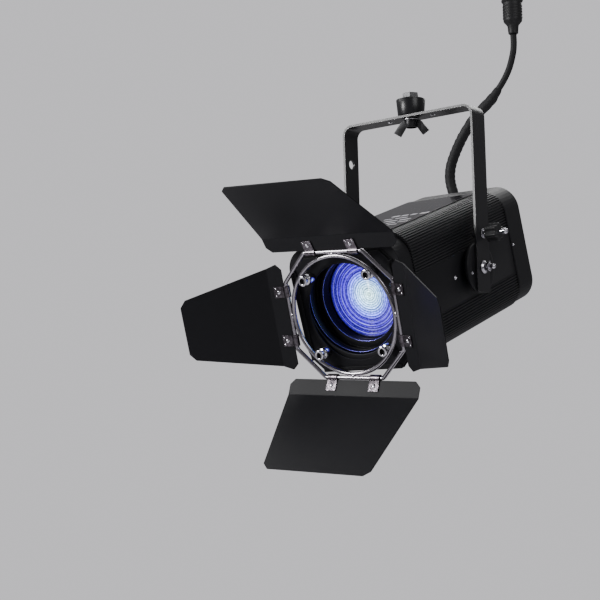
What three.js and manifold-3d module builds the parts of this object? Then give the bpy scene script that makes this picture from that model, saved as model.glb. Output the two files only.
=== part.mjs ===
// A compact LED theatre fresnel spotlight with a wire-framed barn door, hung from its yoke.
// Millimetres, +Z up. The origin is the middle of the yoke bar's upper face, where the hanging bolt passes.
// +X runs along the tilt axis, and the lens faces -Y, tipped down by REST_TILT.
import * as THREE from 'three';
import { mergeVertices } from 'three/addons/utils/BufferGeometryUtils.js';
import Module from 'manifold-3d';

const wasm = await Module();
wasm.setup();

const DEG = Math.PI / 180;
const GAP = 0.3;

// Yoke: a flat steel strip bent to a U, its bar on top.
const YOKE = { width: 200, strip: 30, thick: 3, bend: 14, pivotDrop: 205, tail: 31 };
const YOKE_HOLES = { bolt: 6.5, bar: 4, barAt: 33, side: 6, sideDrop: 50, pivot: 6, lock: 4.6 };
const LOCK_RISE = 42;
const HANG = { bolt: 6, end: -12.5, headTall: 8, headAcross: 19 };
const COLLAR = { low: 17, high: 19, tall: 22 };
const WING_NUT = { washer: 9.8, washerThick: 1.8, hub: 9, foot: -14.4, wing: 4.4, turn: 14 };

// Head. Distances called front or back are measured forward of the pivot, along the beam.
const REST_TILT = 18.3;
const BODY = { half: 83, tall: 79, corner: 28, wall: 4.6, back: -106.7, front: 125 };
const SEAM = { upper: 25.4, lower: -33.5 };
const FIN = { pitch: 4.1, groove: 1.7, depth: 2.2, topEdge: 54 };
const REAR = { half: 84.5, tall: 77.5, corner: 30, wall: 3, back: -145, front: -107 };
const FRONT = { half: 81.5, tall: 75.5, corner: 29, wall: 3, back: 125.3, front: 151, mouth: 64 };
const PANEL = { back: -143, front: -140.5 };
const BUTTONS = { z: 20, hole: 4.5, at: { menu: 2, down: 16, up: 30, enter: 44 } };
const SOCKETS = {
  z: -30, radius: 11.6, bore: 9.4, back: -148.8, floor: -131, front: -128, at: { in: -56, out: -27 },
};
const FAN = { x: 28, z: -31, half: 36, bore: 31, hub: 14, blades: 7 };
const SAFETY_EYE = { x: 62, z: 50, radius: 9, wire: 2.2 };
const LABEL = { half: 53, back: -94, front: 117, thick: 0.9 };
const SIDE_OUT = 84.8;
const DISC = { radius: 32, boss: 20, step: 91, outer: 96.7 };

// Optics.
const LENS_RISE = 3;
const BARREL = { back: 119.5, front: 147.4, outer: 63.4, mouth: 61.8, step: 133, throat: 52.6 };
const LENS = {
  radius: 51.6, back: 109.5, front: 118.6, zones: 7, zoneTall: 1.4, dish: 7.6, bulge: 103.5, waist: 46,
};
const CARRIAGE = { half: 64, back: 104, front: 108.4, bore: 49, collar: 118.2, collarRadius: 54.1 };
const RODS = { x: 57.5, radius: 3, back: 12 };
const ZOOM = { travel: 36, z: -9, stem: 3 };

// Accessory holder and barn door, centred a little below the pivot line.
const DROP = -6.5;
const HOLDER = { half: 73, inner: 71.2, lip: 67.5, cut: 15, back: 151.3, front: 157.2, mouth: 62.5 };
const GEL = { half: 70.5, back: 152.8, front: 154, mouth: 61, cut: 13, pull: 72 };
const DOOR_PLATE = { half: 70.5, back: 154.4, front: 155.6, mouth: 60, cut: 12.5 };
const POST = { at: 46.7, radius: 6.7, neck: 4, back: 155.9, front: 174.6 };
const RING = { front: 170, radius: 73, flat: 78, side: 42, wire: 2.6, roll: -3.2 };
const CLIP = { at: 31, width: 14, bore: 3.2, outer: 4.4, low: 0.9, high: 2, reach: 17 };
const LEAF = { thick: 1.2, near: 3, crease: 23.5, length: 136.5, bend: 24.6, nearCut: 6, farCut: 7 };
const WIDE_LEAF = { near: 95, far: 76 };
const NARROW_LEAF = { near: 67, far: 37 };
const LEAVES = [
  { name: 'top', turn: 0, open: 21.5, size: WIDE_LEAF },
  { name: 'left', turn: 90, open: 10, size: NARROW_LEAF },
  { name: 'bottom', turn: 180, open: 34, size: WIDE_LEAF },
  { name: 'right', turn: -90, open: 16, size: NARROW_LEAF },
];

// Mains lead: from the gland on the rear panel up to the connector that hangs above the bar.
const GLAND = { x: -42, z: 34, length: 26 };
const LEAD = { radius: 4.5, sides: 10, steps: 34 };
const LEAD_ROUTE = [
  [-42, 150.1, -119.6], [-42.2, 160.4, -115.9], [-44, 170.2, -109.6], [-47.2, 178, -100.4],
  [-51.3, 182.6, -89.2], [-55.6, 184, -77], [-59.4, 183.6, -64], [-61.2, 183, -50], [-58.6, 182.4, -34],
  [-52, 182, -19], [-43.5, 182, -4], [-33, 182, 11], [-14, 181.5, 31.5], [12, 181, 50.5], [31, 180.5, 67],
  [45, 180, 87], [52.5, 180, 108], [54.5, 180, 122], [54.5, 180, 135],
];
const CONNECTOR = { radius: 15, length: 62 };

const COLOURS = {
  body: paint(0x17171a, 0.48, 0.35),
  yoke: paint(0x131316, 0.42, 0.4),
  leaf: paint(0x101012, 0.55, 0.3),
  label: paint(0x1b1b1f, 0.2, 0.1),
  chrome: paint(0xd0d2d8, 0.16, 1),
  steel: paint(0x9a9ca0, 0.35, 0.9),
  sheet: paint(0x1a1a1c, 0.6, 0.2),
  inside: paint(0x0c0c0e, 0.75, 0.1),
  alloy: paint(0xaab0b6, 0.4, 0.8),
  glass: paint(0xdfe8ff, 0.05, 0),
  lamp: paint(0xf4efd8, 0.5, 0),
  board: paint(0x1d4a2c, 0.6, 0),
  plastic: paint(0x141416, 0.5, 0),
  rubber: paint(0x0e0e10, 0.85, 0),
  window: paint(0x0a1c26, 0.1, 0),
};

function paint(color, roughness, metalness) {
  return new THREE.MeshStandardMaterial({ color, roughness, metalness });
}

// A copy of the geometry with shared vertices, no empty triangles and its faces pointing out.
function closed(geometry) {
  const bare = geometry.clone();
  bare.deleteAttribute('normal');
  bare.deleteAttribute('uv');
  const merged = mergeVertices(bare, 1e-3);
  const place = merged.getAttribute('position');
  const [a, b, c] = [new THREE.Vector3(), new THREE.Vector3(), new THREE.Vector3()];
  const kept = [];
  let volume = 0;
  for (let i = 0; i < merged.index.count; i += 3) {
    const [p, q, r] = [0, 1, 2].map((k) => merged.index.getX(i + k));
    if (p === q || q === r || r === p) continue;
    kept.push([p, q, r]);
    a.fromBufferAttribute(place, p);
    b.fromBufferAttribute(place, q);
    c.fromBufferAttribute(place, r);
    volume += a.dot(b.cross(c));
  }
  merged.setIndex(kept.flatMap(([p, q, r]) => (volume > 0 ? [p, q, r] : [p, r, q])));
  return merged;
}

function solidOf(geometry) {
  const whole = closed(geometry);
  return new wasm.Manifold(new wasm.Mesh({
    numProp: 3,
    vertProperties: Float32Array.from(whole.getAttribute('position').array),
    triVerts: Uint32Array.from(whole.index.array),
  }));
}

function geometryOf(solid) {
  const made = solid.getMesh();
  const geometry = new THREE.BufferGeometry();
  geometry.setAttribute('position', new THREE.BufferAttribute(made.vertProperties, 3));
  geometry.setIndex(new THREE.BufferAttribute(made.triVerts, 1));
  return geometry;
}

function joined(...geometries) {
  return geometryOf(geometries.map(solidOf).reduce((whole, piece) => whole.add(piece)));
}

function cut(geometry, ...tools) {
  return geometryOf(tools.map(solidOf).reduce((whole, tool) => whole.subtract(tool), solidOf(geometry)));
}

function box(x0, x1, y0, y1, z0, z1) {
  const geometry = new THREE.BoxGeometry(x1 - x0, y1 - y0, z1 - z0);
  return geometry.translate((x0 + x1) / 2, (y0 + y1) / 2, (z0 + z1) / 2);
}

// A turned piece from [place along the axis, radius] points, closed on the axis or on itself.
function turned(profile, segments) {
  const points = profile.map(([along, radius]) => new THREE.Vector2(radius, along));
  return new THREE.LatheGeometry(points, segments);
}

const turnedX = (profile, segments = 24) => turned(profile, segments).rotateZ(-Math.PI / 2);
const turnedZ = (profile, segments = 24) => turned(profile, segments).rotateX(Math.PI / 2);
const turnedBeam = (profile, segments = 32) => turned(profile.map(([front, r]) => [-front, r]), segments);

const ring = (from, to, inner, outer) => (
  [[from, inner], [from, outer], [to, outer], [to, inner], [from, inner]]);
const rod = (from, to, radius) => [[from, 0], [from, radius], [to, radius], [to, 0]];

// An outline in the head's x-z plane, extruded between two distances forward of the pivot.
function beamwise(shape, from, to) {
  const depth = to - from;
  const geometry = new THREE.ExtrudeGeometry(shape, { depth, bevelEnabled: false, curveSegments: 8 });
  return geometry.rotateX(Math.PI / 2).translate(0, -from, 0);
}

function beamBox(x0, x1, from, to, z0, z1) {
  return box(x0, x1, -to, -from, z0, z1);
}

function outline(points) {
  return new THREE.Shape(points.map(([x, y]) => new THREE.Vector2(x, y)));
}

function roundedRect(half, tall, corner) {
  const shape = new THREE.Shape();
  shape.absarc(half - corner, tall - corner, corner, 0, Math.PI / 2);
  shape.absarc(corner - half, tall - corner, corner, Math.PI / 2, Math.PI);
  shape.absarc(corner - half, corner - tall, corner, Math.PI, Math.PI * 1.5);
  shape.absarc(half - corner, corner - tall, corner, Math.PI * 1.5, Math.PI * 2);
  return shape;
}

function cutCornerSquare(half, corner, middle, mouth = 0) {
  const near = half - corner;
  const shape = outline([
    [half, near], [near, half], [-near, half], [-half, near],
    [-half, -near], [-near, -half], [near, -half], [half, -near],
  ].map(([x, z]) => [x, z + middle]));
  if (mouth) shape.holes.push(new THREE.Path().absarc(0, middle, mouth, 0, Math.PI * 2, true));
  return shape;
}

function hexPrismX(from, to, across) {
  return new THREE.CylinderGeometry(across / Math.sqrt(3), across / Math.sqrt(3), to - from, 6)
    .rotateZ(-Math.PI / 2).translate((from + to) / 2, 0, 0);
}

function add(parent, name, geometry, material) {
  const mesh = new THREE.Mesh(closed(geometry), material);
  mesh.name = name;
  parent.add(mesh);
  return mesh;
}

const spotlight = new THREE.Group();
const head = new THREE.Group();
head.position.z = -YOKE.pivotDrop;
head.rotation.x = REST_TILT * DEG;
spotlight.add(head);

// The wing nut's wings slope down from a short hub, turned a little from the bar.
function addHangingHardware() {
  const seat = COLLAR.tall + 2 * GAP;
  const bolt = joined(
    turnedZ(rod(HANG.end, seat, HANG.bolt), 16),
    hexPrismX(seat, seat + HANG.headTall, HANG.headAcross).rotateY(-Math.PI / 2),
  );
  add(spotlight, 'hanging_bolt', bolt, COLOURS.steel);
  const bore = HANG.bolt + GAP;
  const collar = turnedZ([
    [GAP, bore], [GAP, COLLAR.low], [GAP + COLLAR.tall, COLLAR.high], [GAP + COLLAR.tall, bore], [GAP, bore],
  ], 28);
  add(spotlight, 'hanging_collar', collar, COLOURS.yoke);
  const { washer, washerThick, hub, foot, wing, turn } = WING_NUT;
  const top = -YOKE.thick - GAP;
  const under = top - washerThick;
  const middle = turnedZ([
    [top, bore], [top, washer], [under, washer], [under, hub], [under - 4, hub], [foot, hub - 1.4],
    [foot, bore], [top, bore],
  ]);
  const wings = [-1, 1].map((side) => {
    const blade = outline([
      [7.2, under - 0.3], [11.5, under], [15, -8.3], [23.8, -19.7], [15.3, -25.2], [7.2, -13.2],
    ].map(([x, z]) => [side * x, z]));
    return new THREE.ExtrudeGeometry(blade, { depth: wing, bevelEnabled: false })
      .translate(0, 0, -wing / 2).rotateX(Math.PI / 2);
  });
  add(spotlight, 'wing_nut', joined(middle, ...wings).rotateZ(turn * DEG), COLOURS.steel);
}

function addYoke() {
  const half = YOKE.width / 2;
  const foot = -YOKE.pivotDrop - YOKE.tail;
  const inner = half - YOKE.thick;
  const innerBend = YOKE.bend - YOKE.thick;
  const shape = new THREE.Shape();
  shape.moveTo(half, foot);
  shape.lineTo(half, -YOKE.bend);
  shape.absarc(half - YOKE.bend, -YOKE.bend, YOKE.bend, 0, Math.PI / 2);
  shape.absarc(YOKE.bend - half, -YOKE.bend, YOKE.bend, Math.PI / 2, Math.PI);
  shape.lineTo(-half, foot);
  shape.lineTo(-inner, foot);
  shape.absarc(YOKE.bend - half, -YOKE.bend, innerBend, Math.PI, Math.PI / 2, true);
  shape.absarc(half - YOKE.bend, -YOKE.bend, innerBend, Math.PI / 2, 0, true);
  shape.lineTo(inner, foot);
  const strip = new THREE.ExtrudeGeometry(shape, { depth: YOKE.strip, bevelEnabled: false, curveSegments: 5 })
    .translate(0, 0, -YOKE.strip / 2).rotateX(Math.PI / 2);
  const { bolt, bar, barAt, pivot, sideDrop, lock } = YOKE_HOLES;
  const barHoles = [[0, bolt], [-barAt, bar], [barAt, bar]]
    .map(([x, radius]) => turnedZ(rod(-YOKE.thick - 1, 1, radius), 16).translate(x, 0, 0));
  const pivots = turnedX(rod(-half - 1, half + 1, pivot), 16).translate(0, 0, -YOKE.pivotDrop);
  const side = turnedX(rod(-half - 1, 1 - inner, YOKE_HOLES.side), 16).translate(0, 0, -sideDrop);
  const stud = turnedX(rod(inner - 1, half + 1, lock), 16).translate(0, 0, LOCK_RISE - YOKE.pivotDrop);
  add(spotlight, 'yoke_bracket', cut(strip, ...barHoles, pivots, side, stud), COLOURS.yoke);
}

function addTiltLock() {
  const face = YOKE.width / 2 + GAP;
  const knob = turnedX([
    [SIDE_OUT + 1.2, 0], [SIDE_OUT + 1.2, 4], [face, 4], [face, 6], [face + 2, 6], [face + 2, 4.6],
    [face + 6, 4.6], [face + 7, 9], [face + 10, 11], [face + 21, 11.4], [face + 24, 9], [face + 24, 3.8],
    [face + 34, 3.8], [face + 35, 3], [face + 35, 0],
  ], 20);
  add(spotlight, 'tilt_lock_knob', knob, COLOURS.plastic).position.z = LOCK_RISE - YOKE.pivotDrop;
}

// The finned outline of the upper right shoulder: up the side from the seam, round the corner, onto the top.
function finnedShoulder(seam) {
  const { half, tall, corner } = BODY;
  const straight = tall - corner - seam;
  const arc = corner * Math.PI / 2;
  const flat = half - corner - FIN.topEdge;
  const at = (s, inset) => {
    if (s < straight) return [half - inset, seam + s];
    if (s > straight + arc) return [half - corner - (s - straight - arc), tall - inset];
    const angle = (s - straight) / corner;
    const reach = corner - inset;
    return [half - corner + reach * Math.cos(angle), tall - corner + reach * Math.sin(angle)];
  };
  const fins = Math.floor((straight + arc + flat - 1) / FIN.pitch);
  const points = [at(0, 0)];
  for (let i = 0; i < fins; i += 1) {
    const s = 1.4 + i * FIN.pitch;
    const end = s + FIN.groove;
    points.push(at(s, 0), at(s + 0.25, FIN.depth), at(end - 0.25, FIN.depth), at(end, 0));
  }
  return points;
}

// Half of the extruded body, cut at its seams: side 1 is the upper shell, side -1 the lower one.
function shell(seam, side) {
  const right = finnedShoulder(seam);
  const left = right.map(([x, z]) => [-x, z]).reverse();
  const { half, tall, corner, wall } = BODY;
  const inside = [];
  for (let i = 0; i <= 6; i += 1) {
    const angle = (i / 6) * (Math.PI / 2);
    inside.push([
      corner - half - (corner - wall) * Math.cos(angle), tall - corner + (corner - wall) * Math.sin(angle),
    ]);
  }
  const back = inside.map(([x, z]) => [-x, z]).reverse();
  const around = [...right, ...left, [wall - half, seam], ...inside, ...back, [half - wall, seam]];
  return beamwise(outline(around.map(([x, z]) => [x, side * z])), BODY.back, BODY.front);
}

function addBody() {
  add(head, 'upper_shell', shell(SEAM.upper, 1), COLOURS.body);
  add(head, 'lower_shell', shell(-SEAM.lower, -1), COLOURS.body);
  const [inner, outer] = [BODY.half - 3.2, BODY.half];
  const [low, high] = [SEAM.lower + GAP, SEAM.upper - GAP];
  add(head, 'side_rail_right', beamBox(inner, outer, BODY.back, BODY.front, low, high), COLOURS.body);
  const slot = beamBox(-outer - 1, 1 - inner, CARRIAGE.back - ZOOM.travel - 3, CARRIAGE.front + 3,
    ZOOM.z - 4, ZOOM.z + 4);
  const rail = beamBox(-outer, -inner, BODY.back, BODY.front, low, high);
  add(head, 'side_rail_left', cut(rail, slot), COLOURS.body);
  const top = BODY.tall + GAP;
  add(head, 'label_plate',
    beamBox(-LABEL.half, LABEL.half, LABEL.back, LABEL.front, top, top + LABEL.thick), COLOURS.label);
}

function addRearEnd() {
  const { half, tall, corner, wall } = REAR;
  const inner = roundedRect(half - wall, tall - wall, corner - wall);
  const cover = cut(beamwise(roundedRect(half, tall, corner), REAR.back, REAR.front),
    beamwise(inner, REAR.back - 1, REAR.front + 1));
  add(head, 'rear_cover', cover, COLOURS.body);
  const edge = roundedRect(half - wall - GAP, tall - wall - GAP, corner - wall - GAP);
  const plate = beamwise(edge, PANEL.back, PANEL.front);
  const vents = [-58, -51, -44, -37, -30, -23].map((z) => (
    beamBox(-2, 58, PANEL.back - 1, PANEL.front + 1, z, z + 3)));
  const places = Object.entries(BUTTONS.at);
  const holes = places.map(([, x]) => (
    turnedBeam(rod(PANEL.back - 1, PANEL.front + 1, BUTTONS.hole), 16).translate(x, 0, BUTTONS.z)));
  const ports = Object.values(SOCKETS.at).map((x) => (
    turnedBeam(rod(PANEL.back - 1, PANEL.front + 1, SOCKETS.radius + GAP), 20).translate(x, 0, SOCKETS.z)));
  add(head, 'rear_panel', cut(plate, ...vents, ...holes, ...ports), COLOURS.sheet);
  const press = turnedBeam([
    [-146.4, 0], [-146.4, 3.4], [-145.8, 4], [-140, 4], [-140, 5.2], [-139, 5.2], [-139, 0],
  ], 16);
  for (const [name, x] of places) {
    add(head, `button_${name}`, press.clone().translate(x, 0, BUTTONS.z), COLOURS.plastic);
  }
  add(head, 'display_window', beamBox(-2, 48, PANEL.back - 2.3, PANEL.back - GAP, 34, 58), COLOURS.window);
  const socket = cut(
    joined(beamBox(-13, 13, PANEL.back - 2.3, PANEL.back - GAP, -15.5, 15.5),
      turnedBeam(rod(SOCKETS.back, SOCKETS.front, SOCKETS.radius), 20)),
    turnedBeam(rod(SOCKETS.back - 1, SOCKETS.floor, SOCKETS.bore), 20),
  );
  for (const [name, x] of Object.entries(SOCKETS.at)) {
    add(head, `data_${name}_socket`, socket.clone().translate(x, 0, SOCKETS.z), COLOURS.plastic);
  }
  const gland = turnedBeam([
    [PANEL.back - GAP, 0], [PANEL.back - GAP, 11], [PANEL.back - 6, 11], [PANEL.back - 7, 8.4],
    [PANEL.back - GLAND.length, 6], [PANEL.back - GLAND.length, 0],
  ], 20);
  add(head, 'lead_gland', gland.translate(GLAND.x, 0, GLAND.z), COLOURS.rubber);
  const eye = new THREE.TorusGeometry(SAFETY_EYE.radius, SAFETY_EYE.wire, 8, 16).rotateY(Math.PI / 2)
    .translate(SAFETY_EYE.x, SAFETY_EYE.radius - PANEL.back + 3.4, SAFETY_EYE.z);
  const foot = beamBox(SAFETY_EYE.x - 5, SAFETY_EYE.x + 5, PANEL.back - 2.8, PANEL.back - GAP,
    SAFETY_EYE.z - 12, SAFETY_EYE.z + 12);
  add(head, 'safety_eye', joined(eye, foot), COLOURS.steel);
}

function addPivots() {
  for (const [side, facing] of [['right', 0], ['left', Math.PI]]) {
    const disc = turnedX([
      [SIDE_OUT - 1.5, 5.4], [SIDE_OUT - 1.5, DISC.boss], [DISC.step, DISC.boss], [DISC.step, DISC.radius],
      [DISC.outer, DISC.radius], [DISC.outer, 5.4], [SIDE_OUT - 1.5, 5.4],
    ], 36).rotateZ(facing);
    add(head, `friction_disc_${side}`, disc, COLOURS.plastic);
    const face = YOKE.width / 2 + GAP;
    const bolt = joined(
      turnedX([
        [SIDE_OUT - 1.2, 0], [SIDE_OUT - 1.2, 5], [face, 5], [face, 8], [face + 1.6, 8], [face + 1.6, 6.4],
        [face + 3.2, 6.4], [face + 3.2, 3.2], [face + 16, 3.2], [face + 16, 0],
      ], 20),
      hexPrismX(face + 3, face + 8.5, 10.6),
    ).rotateZ(facing);
    add(head, `pivot_bolt_${side}`, bolt, COLOURS.chrome);
  }
}

function addFrontEnd() {
  const { half, tall, corner, wall, mouth } = FRONT;
  const inner = roundedRect(half - wall, tall - wall, corner - wall);
  const cover = cut(beamwise(roundedRect(half, tall, corner), FRONT.back, FRONT.front),
    beamwise(inner, FRONT.back - 1, FRONT.front - wall),
    turnedBeam(rod(FRONT.back, FRONT.front + 1, mouth), 40).translate(0, 0, LENS_RISE));
  add(head, 'front_cover', cover, COLOURS.body);
  const barrel = turnedBeam([
    [BARREL.back, BARREL.throat], [BARREL.back, BARREL.outer], [BARREL.front, BARREL.outer],
    [BARREL.front, BARREL.mouth], [BARREL.step, BARREL.mouth], [BARREL.step, BARREL.throat],
    [BARREL.back, BARREL.throat],
  ], 40);
  add(head, 'lens_barrel', barrel.translate(0, 0, LENS_RISE), COLOURS.inside);
  const outer = cutCornerSquare(HOLDER.half, HOLDER.cut, DROP, HOLDER.mouth);
  const plate = beamwise(outer, HOLDER.back, HOLDER.back + 1);
  const reach = HOLDER.half - HOLDER.cut;
  const lip = HOLDER.front - 1.2;
  const rails = [[HOLDER.inner, HOLDER.half], [-HOLDER.half, -HOLDER.inner]].map(([x0, x1]) => (
    beamBox(x0, x1, HOLDER.back + 0.5, HOLDER.front, DROP - reach, DROP + reach)));
  const lips = [[HOLDER.lip, HOLDER.half], [-HOLDER.half, -HOLDER.lip]].map(([x0, x1]) => (
    beamBox(x0, x1, lip, HOLDER.front, DROP - reach, DROP + reach)));
  const floor = DROP - HOLDER.half;
  const sill = beamBox(-reach, reach, HOLDER.back + 0.5, HOLDER.front, floor, DROP - HOLDER.inner);
  const sillLip = beamBox(-reach, reach, lip, HOLDER.front, floor, DROP - HOLDER.lip);
  add(head, 'accessory_holder', joined(plate, ...rails, ...lips, sill, sillLip), COLOURS.sheet);
  const frame = joined(
    beamwise(cutCornerSquare(GEL.half, GEL.cut, DROP, GEL.mouth), GEL.back, GEL.front),
    beamBox(-14, 14, GEL.back, GEL.front, DROP + GEL.half - 2, GEL.pull),
  );
  add(head, 'gel_frame', frame, COLOURS.sheet);
  add(head, 'barndoor_plate',
    beamwise(cutCornerSquare(DOOR_PLATE.half, DOOR_PLATE.cut, DROP, DOOR_PLATE.mouth), DOOR_PLATE.back,
      DOOR_PLATE.front), COLOURS.leaf);
  const post = turnedBeam([
    [POST.back, 0], [POST.back, POST.radius], [RING.front - 3, POST.radius], [RING.front - 3, POST.neck],
    [RING.front + 3, POST.neck], [RING.front + 3, POST.radius], [POST.front - 0.6, POST.radius],
    [POST.front, POST.radius - 0.8], [POST.front, 0],
  ], 16);
  [[1, 1], [-1, 1], [-1, -1], [1, -1]].forEach(([sx, sz], i) => {
    const placed = post.clone().translate(sx * POST.at, 0, DROP + sz * POST.at);
    add(head, `ring_post_${i + 1}`, placed, COLOURS.chrome);
  });
}

// The lens is dished: its stepped front face is deepest in the middle, and its back bulges to the lamp.
function addOptics() {
  const rise = (geometry) => geometry.translate(0, 0, LENS_RISE);
  const face = (radius) => LENS.front - LENS.dish * (1 - (radius / LENS.radius) ** 2);
  const profile = [
    [LENS.bulge, 0], [LENS.bulge + 1.6, 25], [LENS.back, LENS.waist], [LENS.back, LENS.radius],
    [LENS.front, LENS.radius],
  ];
  for (let i = LENS.zones; i >= 1; i -= 1) {
    const inner = (LENS.radius - 2) * Math.sqrt((i - 1) / LENS.zones);
    const outer = (LENS.radius - 2) * Math.sqrt(i / LENS.zones);
    profile.push([face(outer) - LENS.zoneTall, outer], [face(inner), inner]);
  }
  add(head, 'fresnel_lens', rise(turnedBeam(profile, 32)), COLOURS.glass);
  const retainer = turnedBeam(
    ring(CARRIAGE.front - 1, CARRIAGE.collar, LENS.radius + GAP, CARRIAGE.collarRadius), 32);
  const bores = [-RODS.x, RODS.x].map((x) => (
    turnedBeam(rod(CARRIAGE.back - 1, CARRIAGE.front + 1, RODS.radius + GAP), 12)
      .translate(x, 0, LENS_RISE)));
  const outer = cutCornerSquare(CARRIAGE.half, 22, LENS_RISE, CARRIAGE.bore);
  const frame = beamwise(outer, CARRIAGE.back, CARRIAGE.front);
  add(head, 'lens_carriage', cut(joined(frame, rise(retainer)), ...bores), COLOURS.alloy);
  for (const [name, x] of [['guide_rod_right', RODS.x], ['guide_rod_left', -RODS.x]]) {
    const made = turnedBeam(rod(RODS.back, BARREL.back - GAP, RODS.radius), 12);
    add(head, name, rise(made.translate(x, 0, 0)), COLOURS.steel);
  }
  const knob = turnedX([
    [CARRIAGE.half + GAP, 0], [CARRIAGE.half + GAP, ZOOM.stem], [86, ZOOM.stem], [86, 7.6], [87, 9], [99, 9],
    [101, 7], [101, 0],
  ], 18).rotateZ(Math.PI);
  add(head, 'zoom_knob', knob.translate(0, -(CARRIAGE.back + CARRIAGE.front) / 2, ZOOM.z), COLOURS.plastic);
}

function addLampHouse() {
  const fins = [];
  const [count, wide, base, tip] = [10, 50, 30, 88];
  const pitch = (2 * wide - 3) / (count - 1);
  for (let i = 0; i < count; i += 1) {
    const left = i * pitch - wide;
    fins.push([left, base + 8], [left, tip], [left + 3, tip], [left + 3, base + 8]);
  }
  const comb = new THREE.ExtrudeGeometry(outline([[-wide, base], ...fins, [wide, base]]),
    { depth: 96, bevelEnabled: false });
  add(head, 'heat_sink', comb.translate(0, 0, -36), COLOURS.alloy);
  const lamp = joined(
    beamBox(-26, 26, -29.7, -27.6, LENS_RISE - 26, LENS_RISE + 26),
    turnedBeam(rod(-28, -25.6, 17), 24).translate(0, 0, LENS_RISE),
  );
  add(head, 'led_module', lamp, COLOURS.lamp);
  add(head, 'power_supply', beamBox(-52, 52, -96, 34, -70, -42), COLOURS.alloy);
  add(head, 'control_board', beamBox(-18, 56, -136, -134.4, 6, 64), COLOURS.board);
  const { x, z, half, bore, hub } = FAN;
  const duct = cut(beamBox(-half, half, -132, -110, -half, half), turnedBeam(rod(-133, -109, bore), 28));
  add(head, 'fan_frame', duct.translate(x, 0, z), COLOURS.plastic);
  const blades = [];
  for (let i = 0; i < FAN.blades; i += 1) {
    const blade = new THREE.BoxGeometry(17, 11, 1.6).rotateX(32 * DEG).translate(hub + 6.6, 121, 0);
    blades.push(blade.rotateY(i * 2 * Math.PI / FAN.blades));
  }
  const rotor = joined(turnedBeam(rod(-128, -114, hub), 20), ...blades);
  add(head, 'fan_rotor', rotor.translate(x, 0, z), COLOURS.plastic);
}

// The octagonal wire, its section an eight-sided bar, welded to the round wire inside it.
function addRingFrame(door) {
  const { flat, side, wire } = RING;
  const edge = wire * Math.SQRT1_2;
  const octagon = (inset) => {
    const [f, s] = [flat + inset, side + inset * Math.tan(Math.PI / 8)];
    const soft = 3;
    const corners = [[f, s], [s, f], [-s, f], [-f, s], [-f, -s], [-s, -f], [s, -f], [f, -s]];
    return corners.flatMap(([x, y], i) => {
      const before = corners[(i + 7) % 8];
      const after = corners[(i + 1) % 8];
      return [before, after].map(([bx, by]) => {
        const share = soft / Math.hypot(bx - x, by - y);
        return [x + (bx - x) * share, y + (by - y) * share];
      });
    });
  };
  const core = wire - edge;
  const shape = outline(octagon(core));
  shape.holes.push(outline(octagon(-core)));
  const bar = new THREE.ExtrudeGeometry(shape, {
    depth: 2 * core, bevelThickness: edge, bevelSize: edge, bevelSegments: 1, curveSegments: 1,
  }).translate(0, 0, -core);
  const round = new THREE.TorusGeometry(RING.radius, wire, 8, 48);
  add(door, 'barndoor_ring', joined(bar, round), COLOURS.chrome);
}

// One leaf hinged on the wire along its own x axis, reaching out along +y and folding towards +z.
function addLeaf(door, { name, turn, open, size }) {
  const arm = new THREE.Group();
  arm.rotation.z = turn * DEG;
  const hinge = new THREE.Group();
  hinge.position.y = RING.flat;
  hinge.rotation.x = open * DEG;
  arm.add(hinge);
  door.add(arm);
  const { near, far } = size;
  const depth = LEAF.thick;
  const plate = (points) => new THREE.ExtrudeGeometry(outline(points), { depth, bevelEnabled: false })
    .translate(0, 0, -depth / 2);
  const flange = plate([
    [LEAF.nearCut - near, LEAF.near], [near - LEAF.nearCut, LEAF.near], [near, LEAF.near + LEAF.nearCut],
    [near, LEAF.crease + 0.1], [-near, LEAF.crease + 0.1], [-near, LEAF.near + LEAF.nearCut],
  ]);
  const reach = LEAF.length - LEAF.crease;
  const slope = (near - far) / reach;
  const sheet = plate([
    [-near, -0.1], [near, -0.1], [far + slope * LEAF.farCut, reach - LEAF.farCut], [far - LEAF.farCut, reach],
    [LEAF.farCut - far, reach], [-far - slope * LEAF.farCut, reach - LEAF.farCut],
  ]).rotateX(LEAF.bend * DEG).translate(0, LEAF.crease, 0);
  add(hinge, `leaf_${name}`, joined(flange, sheet), COLOURS.leaf);
  addClip(hinge, `clip_${name}_1`, -CLIP.at);
  addClip(hinge, `clip_${name}_2`, CLIP.at);
}

// A sheet clip curled round the wire, with its flat tail riveted to the leaf.
function addClip(hinge, name, x) {
  const shape = new THREE.Shape();
  const start = Math.asin(CLIP.high / CLIP.outer);
  const inside = Math.asin(CLIP.low / CLIP.bore);
  shape.moveTo(CLIP.reach, CLIP.high);
  shape.lineTo(CLIP.outer * Math.cos(start), CLIP.high);
  shape.absarc(0, 0, CLIP.outer, start, 2 * Math.PI - start);
  shape.absarc(0, 0, CLIP.bore, 2 * Math.PI - start, inside, true);
  shape.lineTo(CLIP.reach, CLIP.low);
  const curl = new THREE.ExtrudeGeometry(shape, { depth: CLIP.width, bevelEnabled: false, curveSegments: 9 })
    .translate(0, 0, -CLIP.width / 2).rotateZ(Math.PI / 2).rotateY(Math.PI / 2);
  const rivet = new THREE.CylinderGeometry(2, 2.6, 1.4, 10).rotateX(Math.PI / 2)
    .translate(0, 11, CLIP.high + 0.6);
  add(hinge, name, joined(curl, rivet), COLOURS.chrome).position.x = x;
}

function addBarnDoor() {
  const door = new THREE.Group();
  door.position.set(0, -RING.front, DROP);
  door.rotation.x = Math.PI / 2;
  const rolled = new THREE.Group();
  rolled.rotation.z = RING.roll * DEG;
  door.add(rolled);
  head.add(door);
  addRingFrame(rolled);
  for (const leaf of LEAVES) addLeaf(rolled, leaf);
}

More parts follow.
